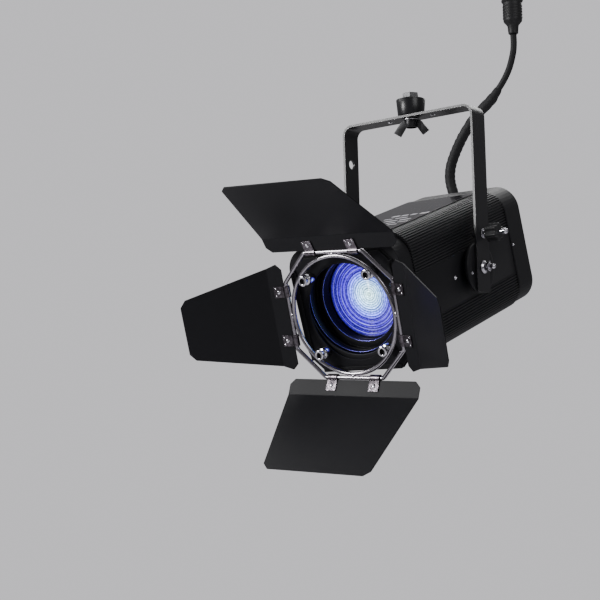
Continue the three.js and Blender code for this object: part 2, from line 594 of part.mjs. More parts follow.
function addMainsLead() {
  const points = LEAD_ROUTE.map(([x, y, z]) => new THREE.Vector3(x, y, z));
  const path = new THREE.CatmullRomCurve3(points, false, 'centripetal');
  const section = new THREE.Shape();
  for (let i = 0; i < LEAD.sides; i += 1) {
    const angle = (i / LEAD.sides) * 2 * Math.PI;
    const [x, y] = [LEAD.radius * Math.cos(angle), LEAD.radius * Math.sin(angle)];
    if (i) section.lineTo(x, y);
    else section.moveTo(x, y);
  }
  const tube = new THREE.ExtrudeGeometry(section, {
    steps: LEAD.steps, extrudePath: path, bevelEnabled: false,
  });
  add(spotlight, 'mains_lead', tube, COLOURS.rubber);
  const end = points[points.length - 1];
  const { radius, length } = CONNECTOR;
  const plug = turnedZ([
    [2 * GAP, 0], [2 * GAP, 6.5], [14, 8], [18, radius - 2], [length - 16, radius],
    [length - 14, radius - 2.5], [length, radius - 2.5], [length, 0],
  ], 20);
  add(spotlight, 'lead_connector', plug, COLOURS.plastic).position.copy(end);
}

addHangingHardware();
addYoke();
addTiltLock();
addBody();
addRearEnd();
addPivots();
addFrontEnd();
addOptics();
addLampHouse();
addBarnDoor();
addMainsLead();

export default spotlight;
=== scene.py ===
"""The fresnel spotlight's looks, in metres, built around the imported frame."""
import math

import bmesh
import bpy
from mathutils import Matrix, Vector


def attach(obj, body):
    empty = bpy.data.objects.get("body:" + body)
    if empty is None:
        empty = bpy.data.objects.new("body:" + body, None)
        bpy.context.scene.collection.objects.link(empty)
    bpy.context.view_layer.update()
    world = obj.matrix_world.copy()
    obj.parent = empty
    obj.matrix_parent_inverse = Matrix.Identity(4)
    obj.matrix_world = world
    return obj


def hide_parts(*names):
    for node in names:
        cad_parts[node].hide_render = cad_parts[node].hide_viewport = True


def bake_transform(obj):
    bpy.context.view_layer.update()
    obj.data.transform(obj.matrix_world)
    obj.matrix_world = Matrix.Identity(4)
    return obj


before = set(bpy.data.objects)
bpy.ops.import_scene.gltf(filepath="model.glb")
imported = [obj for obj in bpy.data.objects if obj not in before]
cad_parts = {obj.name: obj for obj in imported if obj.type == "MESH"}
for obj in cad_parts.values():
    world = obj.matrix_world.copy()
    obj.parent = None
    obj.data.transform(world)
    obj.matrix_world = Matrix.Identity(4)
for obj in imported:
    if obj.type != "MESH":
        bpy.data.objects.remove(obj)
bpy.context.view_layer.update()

MM = 0.001
QUARTER = math.pi / 2


def shift(x, y, z=0):
    """A move given in millimetres."""
    return Matrix.Translation((x * MM, y * MM, z * MM))


# Sizes are in millimetres. The origin is the middle of the yoke bar's top face.
YOKE = {"half": 100, "thick": 3, "bend": 14, "strip_half": 15, "tail": 31}
PIVOT_DROP = 205
LOCK_DROP = 163
BODY = {"half": 83, "tall": 79, "corner": 28, "wall": 4.6, "back": -106.7, "front": 125}
LENS_RISE = 3
DOOR_DROP = 6.5
RING_FRONT = 170
RING_FLAT = 78
LEAF = {"start": 3, "crease": 23.5, "length": 136.5, "cut": 7, "bend": math.radians(24.6), "thick": 1.2}

# The frames that pieces are placed in. UPRIGHT is the yoke's, and HEAD is turned about the tilt axis. FACE looks
# along the beam, with x across the head, y up it and z forward. LENS is FACE centred on the lens. DOOR is
# centred on the barn door, and turned about the beam.
UPRIGHT = Matrix.Identity(4)
TILT = math.radians(18.3)
HEAD = shift(0, 0, -PIVOT_DROP) @ Matrix.Rotation(TILT, 4, "X")
FACE = HEAD @ Matrix.Rotation(QUARTER, 4, "X")
LENS = FACE @ shift(0, LENS_RISE)
DOOR_ROLL = math.radians(-3.2)
DOOR = FACE @ shift(0, -DOOR_DROP, RING_FRONT) @ Matrix.Rotation(DOOR_ROLL, 4, "Z")


def sideways(side, middle=UPRIGHT):
    """A frame whose z axis points out of the right side (1) or the left side (-1)."""
    return middle @ Matrix.Rotation(side * QUARTER, 4, "Y")


# ---------------------------------------------------------------- meshes

def new_object(name, mesh):
    obj = bpy.data.objects.new(name, mesh)
    bpy.context.scene.collection.objects.link(obj)
    return obj


def smooth(mesh):
    mesh.polygons.foreach_set("use_smooth", [True] * len(mesh.polygons))


def mesh_object(name, verts, faces, matrix=UPRIGHT):
    """A smooth mesh given in millimetres, placed by a matrix that is in metres."""
    mesh = bpy.data.meshes.new(name)
    mesh.from_pydata([matrix @ (Vector(v) * MM) for v in verts], [], faces)
    bm = bmesh.new()
    bm.from_mesh(mesh)
    bmesh.ops.recalc_face_normals(bm, faces=bm.faces)
    bm.to_mesh(mesh)
    bm.free()
    smooth(mesh)
    return new_object(name, mesh)


def bevel(obj, width, angle=35, segments=2):
    """Rounds the edges sharper than angle and keeps the flat faces looking flat."""
    mod = obj.modifiers.new("edge", "BEVEL")
    mod.width = width * MM
    mod.segments = segments
    mod.limit_method = "ANGLE"
    mod.angle_limit = math.radians(angle)
    mod.harden_normals = True
    return obj


def turned(name, profile, matrix, segments=48):
    """A lathe-turned piece about the local z axis, from (along, radius) points."""
    verts, faces, rings = [], [], []
    for along, radius in profile:
        if radius == 0:
            rings.append([len(verts)])
            verts.append((0, 0, along))
            continue
        rings.append(range(len(verts), len(verts) + segments))
        for i in range(segments):
            a = 2 * math.pi * i / segments
            verts.append((radius * math.cos(a), radius * math.sin(a), along))
    for low, high in zip(rings, rings[1:]):
        for i in range(segments):
            j = (i + 1) % segments
            if len(low) == 1:
                faces.append((low[0], high[i], high[j]))
            elif len(high) == 1:
                faces.append((low[i], low[j], high[0]))
            else:
                faces.append((low[i], low[j], high[j], high[i]))
    obj = mesh_object(name, verts, faces, matrix)
    if profile[0] == profile[-1]:
        weld(obj)
    return obj


def weld(obj):
    """Joins the last ring of a closed profile to the first."""
    bm = bmesh.new()
    bm.from_mesh(obj.data)
    bmesh.ops.remove_doubles(bm, verts=bm.verts, dist=1e-6)
    bmesh.ops.recalc_face_normals(bm, faces=bm.faces)
    bm.to_mesh(obj.data)
    bm.free()


def rounded(points, radius, steps=5):
    """A closed outline with its corners rounded. radius is one number or one for each corner."""
    out = []
    count = len(points)
    for i, corner in enumerate(points):
        r = radius[i] if isinstance(radius, (list, tuple)) else radius
        p = Vector(corner)
        a = (Vector(points[i - 1]) - p).normalized()
        b = (Vector(points[(i + 1) % count]) - p).normalized()
        if r < 1e-3:
            out.append(p)
            continue
        half = a.angle(b) / 2
        start = p + a * (r / math.tan(half))
        end = p + b * (r / math.tan(half))
        centre = p + (a + b).normalized() * (r / math.sin(half))
        va, vb = start - centre, end - centre
        sweep = va.angle(vb)
        for k in range(steps + 1):
            t = k / steps
            w = (va * math.sin((1 - t) * sweep) + vb * math.sin(t * sweep)) / math.sin(sweep)
            out.append(centre + w)
    return out


def prism(name, outline, low, high, matrix, holes=()):
    """An outline in the local xy plane, with holes, extruded from low to high along z."""
    bm = bmesh.new()
    loops = []
    for loop in (outline, *holes):
        verts = [bm.verts.new((p[0], p[1], low)) for p in loop]
        loops.append([bm.edges.new((verts[i], verts[(i + 1) % len(verts)])) for i in range(len(verts))])
    bmesh.ops.triangle_fill(bm, edges=[e for loop in loops for e in loop], use_beauty=True)
    flat = [e for e in bm.edges if len(e.link_faces) == 2]
    bmesh.ops.dissolve_limit(bm, angle_limit=0.01, verts=bm.verts, edges=flat)
    made = bmesh.ops.extrude_face_region(bm, geom=bm.faces[:])
    top = [v for v in made["geom"] if isinstance(v, bmesh.types.BMVert)]
    bmesh.ops.translate(bm, verts=top, vec=(0, 0, high - low))
    bmesh.ops.recalc_face_normals(bm, faces=bm.faces)
    bmesh.ops.transform(bm, matrix=matrix @ Matrix.Scale(MM, 4), verts=bm.verts)
    mesh = bpy.data.meshes.new(name)
    bm.to_mesh(mesh)
    bm.free()
    return new_object(name, mesh)


def circle(radius, x=0, y=0, count=32):
    angles = [2 * math.pi * i / count for i in range(count)]
    return [(x + radius * math.cos(a), y + radius * math.sin(a)) for a in angles]


def oblong(half, tall, corner, x=0, y=0):
    """A rectangle with round corners, from its half sizes and its middle."""
    corners = [(x + half, y + tall), (x - half, y + tall), (x - half, y - tall), (x + half, y - tall)]
    return rounded(corners, corner, 10)


def tube(name, path, radius, matrix, closed=False, sides=14):
    """A round wire or cable along a path of points. radius is one number or one for each point."""
    points = [Vector(p) for p in path]
    count = len(points)
    verts, faces = [], []
    normal = None
    for i, p in enumerate(points):
        after = points[(i + 1) % count] if closed else points[min(i + 1, count - 1)]
        before = points[i - 1] if closed else points[max(i - 1, 0)]
        tangent = (after - before).normalized()
        if normal is None:
            seed = Vector((0, 0, 1)) if abs(tangent.z) < 0.9 else Vector((1, 0, 0))
            normal = seed.cross(tangent).normalized()
        normal = (normal - tangent * normal.dot(tangent)).normalized()
        side = tangent.cross(normal)
        r = radius[i] if isinstance(radius, (list, tuple)) else radius
        for k in range(sides):
            a = 2 * math.pi * k / sides
            verts.append(p + (normal * math.cos(a) + side * math.sin(a)) * r)
    for i in range(count if closed else count - 1):
        for k in range(sides):
            j = (i + 1) % count
            n = (k + 1) % sides
            faces.append((i * sides + k, i * sides + n, j * sides + n, j * sides + k))
    if not closed:
        faces.append(tuple(reversed(range(sides))))
        faces.append(tuple(range((count - 1) * sides, count * sides)))
    return mesh_object(name, verts, faces, matrix)


def spline(points, per=8):
    """Points along a smooth curve through the given ones."""
    p = [Vector(q) for q in points]
    p = [p[0] * 2 - p[1], *p, p[-1] * 2 - p[-2]]
    out = []
    for i in range(1, len(p) - 2):
        for k in range(per):
            t = k / per
            a, b, c, d = p[i - 1:i + 3]
            out.append(0.5 * (2 * b + (c - a) * t + (2 * a - 5 * b + 4 * c - d) * t * t
                              + (3 * b - a - 3 * c + d) * t ** 3))
    return [*out, p[-2]]


def hexagon(name, across, low, high, matrix, turn=0):
    """A hexagonal head or nut, from its size across the flats."""
    reach = across / math.sqrt(3)
    angles = [turn + i * math.pi / 3 for i in range(6)]
    outline = [(reach * math.cos(a), reach * math.sin(a)) for a in angles]
    return bevel(prism(name, outline, low, high, matrix), 0.5)


def place(body, paint, objects, nodes=()):
    """Gives pieces their material and body. The first one takes the nodes' place."""
    for i, obj in enumerate(objects):
        obj.data.materials.clear()
        obj.data.materials.append(PAINT[paint])
        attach(obj, body)
        if i == 0 and nodes:
            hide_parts(*nodes)


# ---------------------------------------------------------------- materials

class Graph:
    """A new material with a short way to add and link its nodes."""

    def __init__(self, name):
        self.material = bpy.data.materials.new(name)
        self.material.use_nodes = True
        self.nodes = self.material.node_tree.nodes
        self.shader = self.nodes["Principled BSDF"]

    def feed(self, node, values):
        """Sets a node's inputs, each to a plain value or to another node's output."""
        for key, value in values.items():
            if isinstance(value, bpy.types.NodeSocket):
                self.material.node_tree.links.new(value, node.inputs[key])
            else:
                node.inputs[key].default_value = value

    def node(self, kind, values, operation=None):
        made = self.nodes.new(f"ShaderNode{kind}")
        if operation:
            made.operation = operation
        self.feed(made, values)
        return made

    def here(self):
        """The place on the object, in metres."""
        return self.nodes.new("ShaderNodeTexCoord").outputs["Object"]

    def noise(self, vector, scale, detail):
        return self.node("TexNoise", {"Vector": vector, "Scale": scale, "Detail": detail}).outputs["Fac"]

    def spread(self, value, start, end, low=0.3, high=0.7):
        """Stretches low...high, where noise mostly lies, to start...end."""
        limits = {"From Min": low, "From Max": high, "To Min": start, "To Max": end}
        return self.node("MapRange", {"Value": value, **limits}).outputs["Result"]

    def maths(self, operation, *values):
        return self.node("Math", dict(enumerate(values)), operation).outputs["Value"]

    def product(self, *values):
        result = values[0]
        for value in values[1:]:
            result = self.maths("MULTIPLY", result, value)
        return result

    def mix(self, factor, first, second):
        made = self.nodes.new("ShaderNodeMix")
        made.data_type = "RGBA"
        self.feed(made, {"Factor": factor, "A": first, "B": second})
        return made.outputs["Result"]


def material(name, colour, rough, metal=0.0, vary=0.1, grain=900, bump=0.1, wear=0.0, coat=0.0,
             smudge=25, stretch=(1, 1, 1), specular=0.5, tone=(0.8, 1.25), glow=0.0):
    """Noise drives roughness, colour and a fine bump. wear lightens the outer edges."""
    graph = Graph(name)
    place_at = graph.node("Mapping", {"Vector": graph.here(), "Scale": stretch}).outputs["Vector"]
    patches, fine = graph.noise(place_at, smudge, 6), graph.noise(place_at, grain, 3)
    dark, light = ((*[min(c * part, 1) for c in colour], 1) for part in tone)
    shade = graph.mix(graph.spread(fine, 0, 1), dark, light)
    if wear:
        outer = graph.nodes.new("ShaderNodeNewGeometry").outputs["Pointiness"]
        worn = graph.spread(graph.noise(place_at, 60, 4), 0, wear)
        amount = graph.product(graph.spread(outer, 0, 1, 0.52, 0.6), worn)
        shade = graph.mix(amount, shade, (0.3, 0.3, 0.31, 1))
    dents = graph.node("Bump", {"Height": fine, "Strength": bump, "Distance": 0.0002})
    graph.feed(graph.shader, {
        "Base Color": shade,
        "Roughness": graph.spread(patches, max(rough - vary, 0.03), min(rough + vary, 1)),
        "Normal": dents.outputs["Normal"],
        "Metallic": metal,
        "Specular IOR Level": specular,
        "Coat Weight": coat,
        "Coat Roughness": 0.12,
    })
    if glow:
        graph.feed(graph.shader, {"Emission Color": shade, "Emission Strength": glow})
    return graph.material


PAINT = {
    "body": material("body_paint", (0.011, 0.011, 0.0125), 0.42, vary=0.012, grain=2200, bump=0.2,
                     specular=0.15),
    "fins": material("fin_paint", (0.012, 0.012, 0.0135), 0.36, vary=0.012, grain=2400, bump=0.12,
                     specular=0.22),
    "yoke": material("yoke_paint", (0.01, 0.01, 0.0115), 0.3, vary=0.015, grain=1900, bump=0.2,
                     specular=0.3),
    "leaf": material("leaf_paint", (0.009, 0.009, 0.0105), 0.4, vary=0.012, grain=2400, bump=0.15,
                     specular=0.1),
    "sheet": material("sheet_paint", (0.011, 0.011, 0.012), 0.45, vary=0.015, grain=1800, bump=0.2,
                      specular=0.1),
    # A lighter bare metal for the yoke's rounded edges: a painted edge highlight.
    "edge_highlight": material("painted_edge_highlight", (0.4, 0.39, 0.42), 0.3, metal=1, vary=0.08, grain=900, bump=0.2,
                       smudge=90, tone=(0.3, 1.5)),
    "label": material("label_gloss", (0.006, 0.005, 0.008), 0.1, vary=0.01, grain=2600, bump=0.01,
                      specular=0.3),
    "marks": material("label_marks", (0.42, 0.41, 0.44), 0.45, vary=0.1, grain=1500, bump=0.05),
    "chrome": material("chrome_plate", (0.55, 0.54, 0.58), 0.13, metal=1, vary=0.06, grain=700, bump=0.06,
                       smudge=60),
    "wire": material("plated_wire", (0.3, 0.285, 0.31), 0.17, metal=1, vary=0.08, grain=900, bump=0.12,
                     smudge=70),
    # The clips' plating is made dark and strongly mottled: painted reflections of dark surroundings.
    "clip": material("plated_clip_painted_reflection", (0.11, 0.098, 0.11), 0.2, metal=1, vary=0.08, grain=260, bump=0.4,
                     smudge=120, tone=(0.35, 1.7)),
    "steel": material("zinc_plate", (0.42, 0.42, 0.43), 0.3, metal=1, vary=0.12, grain=1300, bump=0.15,
                      smudge=50),
    "bright": material("bright_washer", (0.75, 0.75, 0.77), 0.22, metal=1, vary=0.08, grain=1200, bump=0.1,
                       smudge=50),
    "black_steel": material("blackened_steel", (0.01, 0.01, 0.011), 0.34, metal=0.4, vary=0.04, grain=900,
                            bump=0.15, wear=0.8, specular=0.3),
    "inside": material("black_anodised", (0.003, 0.003, 0.004), 0.34, vary=0.03, grain=1500, bump=0.12,
                       specular=0.12),
    # Blue rings that glow a little, for the barrel's step edges: painted highlights of the lens's light.
    "edge": material("painted_edge_glint", (0.25, 0.23, 0.85), 0.24, metal=1, vary=0.08, grain=900, bump=0.1, glow=0.1,
                     smudge=60, tone=(0.4, 1.1)),
    "alloy": material("plain_alloy", (0.48, 0.49, 0.5), 0.36, metal=1, vary=0.1, grain=500, bump=0.1,
                      stretch=(1, 12, 1)),
    "plastic": material("black_plastic", (0.014, 0.014, 0.015), 0.45, vary=0.03, grain=1600, bump=0.3,
                        specular=0.22),
    "rubber": material("black_rubber", (0.012, 0.012, 0.013), 0.55, vary=0.05, grain=1100, bump=0.3,
                       specular=0.2),
    "sleeve": material("woven_sleeve", (0.012, 0.012, 0.013), 0.6, vary=0.08, grain=3200, bump=0.8,
                       specular=0.2),
    "board": material("circuit_board", (0.02, 0.13, 0.05), 0.42, vary=0.1, grain=260, bump=0.2),
    "lamp": material("phosphor", (0.8, 0.72, 0.35), 0.5, vary=0.1, grain=1500, bump=0.1),
    "window": material("display_glass", (0.008, 0.02, 0.028), 0.08, vary=0.03, grain=200, bump=0.02,
                       coat=0.8),
}


# How the lens's light changes from its middle (0) to its rim (1).
LENS_GLOW = [
    (0, (0.62, 1, 1)), (0.28, (0.34, 0.64, 1)), (0.48, (0.13, 0.18, 0.9)), (0.6, (0.045, 0.02, 0.42)),
    (0.8, (0.02, 0.005, 0.22)), (1, (0.014, 0.003, 0.16)),
]
LENS_REACH = 51.5


def lens_material():
    """Pressed glass lit from behind: white-blue in the middle, violet-blue with thin rings outside."""
    graph = Graph("lit_glass")

    # How far out a point lies, as a share of the lens's radius, a little uneven.
    middle = graph.nodes.new("ShaderNodeMapping")
    middle.vector_type = "TEXTURE"
    graph.feed(middle, {
        "Vector": graph.here(),
        "Location": HEAD @ Vector((0, -115 * MM, LENS_RISE * MM)),
        "Rotation": (TILT, 0, 0),
    })
    place_at = middle.outputs["Vector"]
    flat = graph.node("VectorMath", {0: place_at, 1: (1, 0, 1)}, "MULTIPLY")
    radius = graph.node("VectorMath", {0: flat.outputs["Vector"]}, "LENGTH")
    share = graph.maths("DIVIDE", radius.outputs["Value"], LENS_REACH * MM)
    wobble = graph.spread(graph.noise(place_at, 38, 2), -0.006, 0.006)
    bent = graph.maths("ADD", share, wobble)

    glow = graph.node("ValToRGB", {"Fac": bent})
    first, *between, last = LENS_GLOW
    for element, (at, colour) in zip(glow.color_ramp.elements, (first, last)):
        element.position, element.color = at, (*colour, 1)
    for at, colour in between:
        glow.color_ramp.elements.new(at).color = (*colour, 1)

    # The zones of the glass: wide uneven bands, fine rings and a grain.
    around = graph.node("CombineXYZ", {"X": bent}).outputs["Vector"]
    bands = graph.spread(graph.noise(around, 17, 3), 0.45, 1.35)
    rings = graph.spread(graph.maths("SINE", graph.product(bent, 2 * math.pi * 18)), 0.42, 1.3, -1, 1)
    grain = graph.spread(graph.noise(place_at, 520, 4), 0.6, 1.4, 0.35, 0.65)
    level = graph.maths("POWER", graph.product(bands, rings, grain), 1.6)
    base = graph.node("VectorMath", {0: glow.outputs["Color"], "Scale": level}, "SCALE")

    # Thin bright lines on the outer zones.
    wave = graph.maths("MAXIMUM", graph.maths("SINE", graph.product(bent, 2 * math.pi * 11)), 0.0)
    patchy = graph.spread(graph.noise(place_at, 30, 3), 0.25, 1.3, 0.35, 0.65)
    outer = graph.spread(bent, 0, 1, 0.52, 0.64)
    lines = graph.product(graph.maths("POWER", wave, 18), patchy, outer)
    graph.feed(graph.shader, {
        "Base Color": (0.01, 0.012, 0.06, 1),
        "Roughness": 0.12,
        "Emission Color": graph.mix(lines, base.outputs["Vector"], (0.2, 0.2, 0.8, 1)),
        "Emission Strength": 3.4,
    })
    return graph.material


PAINT["lens"] = lens_material()


# ---------------------------------------------------------------- camera, light and floor

def add_camera():
    azimuth, elevation, roll = math.radians(38.42), math.radians(-4.11), math.radians(-1.51)
    at = (0.9379, -1.4220, -0.3750)
    back = Vector((math.sin(azimuth) * math.cos(elevation), -math.cos(azimuth) * math.cos(elevation),
                   math.sin(elevation)))
    level = Vector((math.cos(azimuth), math.sin(azimuth), 0))
    above = back.cross(level)
    right = level * math.cos(roll) + above * math.sin(roll)
    up = above * math.cos(roll) - level * math.sin(roll)
    data = bpy.data.cameras.new("camera")
    data.lens = 79.578
    data.sensor_width = 36
    data.shift_x, data.shift_y = -0.0025, 0.0238
    camera = bpy.data.objects.new("camera", data)
    camera.matrix_world = Matrix((*zip(right, up, back, at), (0, 0, 0, 1)))
    bpy.context.scene.collection.objects.link(camera)
    bpy.context.scene.camera = camera


def add_light(name, location, target, size, power):
    data = bpy.data.lights.new(name, "AREA")
    data.shape = "RECTANGLE"
    data.size, data.size_y = size
    data.energy = power
    light = bpy.data.objects.new(name, data)
    light.location = location
    light.rotation_euler = (Vector(target) - Vector(location)).to_track_quat("-Z", "Y").to_euler()
    bpy.context.scene.collection.objects.link(light)


def add_world():
    """A room that is pale to the camera, and lights the black object only softly."""
    world = bpy.data.worlds.new("studio")
    world.use_nodes = True
    nodes, links = world.node_tree.nodes, world.node_tree.links
    room, seen = nodes["Background"], nodes.new("ShaderNodeBackground")
    for background, strength in ((room, 0.28), (seen, 0.9)):
        background.inputs["Color"].default_value = (0.8, 0.79, 0.82, 1)
        background.inputs["Strength"].default_value = strength
    mix = nodes.new("ShaderNodeMixShader")
    links.new(nodes.new("ShaderNodeLightPath").outputs["Is Camera Ray"], mix.inputs["Fac"])
    links.new(room.outputs["Background"], mix.inputs[1])
    links.new(seen.outputs["Background"], mix.inputs[2])
    links.new(mix.outputs["Shader"], nodes["World Output"].inputs["Surface"])
    bpy.context.scene.world = world


def add_studio():
    """The room, a pale floor below the camera's view, and the lights."""
    add_world()
    far, low = 2900, -1300
    corners = [(-far, -far, low), (far, -far, low), (far, far, low), (-far, far, low)]
    floor = mesh_object("floor", corners, [(0, 1, 2, 3)])
    pale = material("pale_floor", (0.74, 0.73, 0.76), 0.85, vary=0.02, grain=25, bump=0.0, specular=0.1,
                    tone=(0.985, 1.015))
    floor.data.materials.append(pale)
    middle = (0, -0.05, -0.2)
    add_light("overhead", (-0.3, 0.9, 2.6), (-0.3, 0.9, -1.3), (2.4, 2.4), 40)
    add_light("key", (-1.9, -0.9, 1.3), middle, (1.2, 0.9), 18)
    add_light("edge_strip", (-1.12, -1.75, 0.22), (0, 0, 0.1), (0.62, 0.6), 45)
    add_light("rear_rim", (-0.9, 1.9, 1.5), middle, (1.2, 0.5), 9)
    add_light("right_fill", (2.4, -0.9, 0.9), middle, (1.4, 1.4), 26)
    add_light("back_fill", (-0.2, 2.4, 1.4), middle, (1.2, 1.2), 18)


# ---------------------------------------------------------------- mains lead

LEAD_RADIUS = 4.5
LEAD_ROUTE = [
    (-42, 150.1, -119.6), (-42.2, 160.4, -115.9), (-44, 170.2, -109.6), (-47.2, 178, -100.4),
    (-51.3, 182.6, -89.2), (-55.6, 184, -77), (-59.4, 183.6, -64), (-61.2, 183, -50), (-58.6, 182.4, -34),
    (-52, 182, -19), (-43.5, 182, -4), (-33, 182, 11), (-14, 181.5, 31.5), (12, 181, 50.5),
    (31, 180.5, 67), (45, 180, 87), (52.5, 180, 108), (54.5, 180, 122), (54.5, 180, 135),
]
WRAP = {"low": -84, "high": 66, "fade": 5, "radius": 4.9, "swell": 2.5, "ripple": 0.35}
WRAP_ASIDE = Vector((0.83, 0.55, 0)) * 2.9


def wrapped_stretch(path):
    """The thicker part of the lead: its own path, a little to one side, and its radius along it."""
    inside = [p for p in path if WRAP["low"] < p.z < WRAP["high"]]
    last = len(inside) - 1
    share = [min(1, i / WRAP["fade"], (last - i) / WRAP["fade"]) for i in range(last + 1)]
    radius = [WRAP["radius"] + WRAP["swell"] * part + WRAP["ripple"] * math.sin(i * 2.1)
              for i, part in enumerate(share)]
    return [p + WRAP_ASIDE * part for p, part in zip(inside, share)], radius


def add_lead():
    path = spline(LEAD_ROUTE, 6)
    lead = tube("lead", path, LEAD_RADIUS, UPRIGHT, sides=16)
    top = shift(*LEAD_ROUTE[-1])
    plug = turned("connector", [
        (0.6, 0), (0.6, 6), (1.4, 6.8), (12, 7.8), (15, 10), (18, 12.6), (20, 13), (44, 13), (46, 14.6),
        (47, 15), (48.5, 15), (49.5, 12.5), (61.5, 12.5), (62, 12), (62, 10.4), (52, 10.4), (52, 0)], top)
    rib = [(22, 12.9), (22.4, 13.6), (24, 13.6), (24.4, 12.9)]
    grips = [turned(f"connector_rib_{i}", [(along + 4 * i, reach) for along, reach in rib], top)
             for i in range(5)]
    place("yoke", "plastic", [bevel(plug, 0.3), *grips], ["lead_connector"])
    wrap = tube("lead_wrap", *wrapped_stretch(path), UPRIGHT, sides=18)
    for obj, paint in ((lead, "rubber"), (wrap, "sleeve")):
        obj.data.materials.append(PAINT[paint])
        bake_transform(obj)
    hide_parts("mains_lead")


# ---------------------------------------------------------------- pieces taken over from the frame

def from_cad(node, body, paint, width=0.4):
    """A finished copy of a node: its edges rounded and its flat faces cleaned of triangles."""
    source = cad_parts[node]
    mesh = source.data.copy()
    mesh.transform(source.matrix_world)
    bm = bmesh.new()
    bm.from_mesh(mesh)
    bmesh.ops.remove_doubles(bm, verts=bm.verts, dist=1e-5)
    bmesh.ops.dissolve_limit(bm, angle_limit=math.radians(1), verts=bm.verts, edges=bm.edges)
    bmesh.ops.recalc_face_normals(bm, faces=bm.faces)
    bm.to_mesh(mesh)
    bm.free()
    smooth(mesh)
    obj = new_object(f"{node}_piece", mesh)
    place(body, paint, [bevel(obj, width, 30)], [node])
    return obj


def thicken(obj, thick):
    """Gives a sheet its thickness, half to each side."""
    skin = obj.modifiers.new("thickness", "SOLIDIFY")
    skin.thickness = thick * MM
    skin.offset = 0
    return obj


def bent_sheet(name, outline, holes, cuts, shape, thick, matrix, edge=0.25):
    """A flat blank, cut across wherever it bends, then mapped to its bent shape and thickened."""
    bm = bmesh.new()
    edges = []
    for loop in (outline, *holes):
        verts = [bm.verts.new((p[0], p[1], 0)) for p in loop]
        edges += [bm.edges.new((verts[i], verts[(i + 1) % len(verts)])) for i in range(len(verts))]
    bmesh.ops.triangle_fill(bm, edges=edges, use_beauty=True)
    for at in cuts:
        bmesh.ops.bisect_plane(bm, geom=[*bm.verts, *bm.edges, *bm.faces], plane_co=(0, at, 0),
                               plane_no=(0, 1, 0))
    bmesh.ops.recalc_face_normals(bm, faces=bm.faces)
    if sum(f.normal.z for f in bm.faces) < 0:
        bmesh.ops.reverse_faces(bm, faces=bm.faces)
    for vert in bm.verts:
        vert.co = shape(vert.co)
    bmesh.ops.transform(bm, matrix=matrix @ Matrix.Scale(MM, 4), verts=bm.verts)
    mesh = bpy.data.meshes.new(name)
    bm.to_mesh(mesh)
    bm.free()
    smooth(mesh)
    return bevel(thicken(new_object(name, mesh), thick), edge, 50)


# ---------------------------------------------------------------- yoke and what it hangs from

# The strip's middle line: half of the bar is straight, then it bends down into a leg.
STRAIGHT = YOKE["half"] - YOKE["bend"]
BEND = YOKE["bend"] - YOKE["thick"] / 2
ARC = BEND * QUARTER


def yoke_shape(p):
    """Wraps the flat strip, whose length is along y, into the U."""
    s = abs(p.y)
    side = 1 if p.y > 0 else -1
    if s <= STRAIGHT:
        return Vector((p.y, p.x, -YOKE["thick"] / 2))
    if s <= STRAIGHT + ARC:
        a = (s - STRAIGHT) / BEND
        return Vector((side * (STRAIGHT + BEND * math.sin(a)), p.x, -YOKE["bend"] + BEND * math.cos(a)))
    return Vector((side * (STRAIGHT + BEND), p.x, -YOKE["bend"] - (s - STRAIGHT - ARC)))


def add_yoke():
    leg = PIVOT_DROP + YOKE["tail"] - YOKE["bend"]
    outline = oblong(YOKE["strip_half"], STRAIGHT + ARC + leg, 3)
    # Added to a depth below the bar, this gives the place along the flat strip.
    along = STRAIGHT + ARC - YOKE["bend"]
    bar_hole = 33
    holes = [circle(6.5), circle(4, 0, -bar_hole), circle(4, 0, bar_hole), circle(4.6, 0, along + LOCK_DROP)]
    holes += [circle(6, 0, at) for at in (along + PIVOT_DROP, -along - PIVOT_DROP, -along - 50)]
    cuts = [side * (STRAIGHT + ARC * k / 10) for k in range(11) for side in (-1, 1)]
    cuts += [side * (STRAIGHT + ARC + 45 * k) for k in range(1, 5) for side in (-1, 1)]
    strip = bent_sheet("yoke_strip", outline, holes, cuts, yoke_shape, YOKE["thick"], UPRIGHT, 0.6)
    place("yoke", "yoke", [strip], ["yoke_bracket"])
    # The strip's rounded edges take a lighter bare-metal colour: a painted edge highlight.
    strip.data.materials.append(PAINT["edge_highlight"])
    strip.modifiers["edge"].material = 1
    for x in (-bar_hole, bar_hole):
        stud = turned(f"bar_stud_{x}", [
            (-3.9, 0), (-3.9, 1.9), (-3.2, 2.6), (-2.9, 3.9), (-0.2, 3.9), (0, 3.6), (0, 0)], shift(x, 0), 24)
        place("yoke", "bright", [stud])


def threads(start, end, radius, pitch=1.5, depth=0.5):
    """The profile of a threaded length, as close rings."""
    out = []
    count = int((end - start) / pitch)
    for i in range(count):
        out += [(start + i * pitch, radius - depth), (start + (i + 0.5) * pitch, radius)]
    return [*out, (start + count * pitch, radius - depth)]


def add_hanging():
    bolt = turned("hanging_bolt_shank", [
        (-12.5, 0), (-12.5, 4.8), *threads(-12, 20, 6), (22, 5.5), (22, 0)], UPRIGHT, 32)
    head = hexagon("hanging_bolt_head", 19, 22.6, 30.4, UPRIGHT)
    place("hanger", "black_steel", [head, bolt], ["hanging_bolt"])
    collar = turned("hanging_collar_piece", [
        (0.3, 6.4), (0.3, 16.2), (0.5, 16.7), (1.2, 17.1), (21.4, 18.9), (22.1, 18.6), (22.3, 17.8),
        (22.3, 6.4), (0.3, 6.4)], UPRIGHT, 64)
    place("hanger", "yoke", [bevel(collar, 0.3)], ["hanging_collar"])
    nut = from_cad("wing_nut", "wing_nut_body", "black_steel", 0.6)
    nut.modifiers["edge"].segments = 3
    washer = turned("wing_nut_washer", [
        (-3.5, 6.5), (-3.5, 9.8), (-3.8, 10.1), (-4.7, 10.1), (-5, 9.8), (-5, 6.5)], UPRIGHT)
    place("wing_nut_body", "bright", [washer])


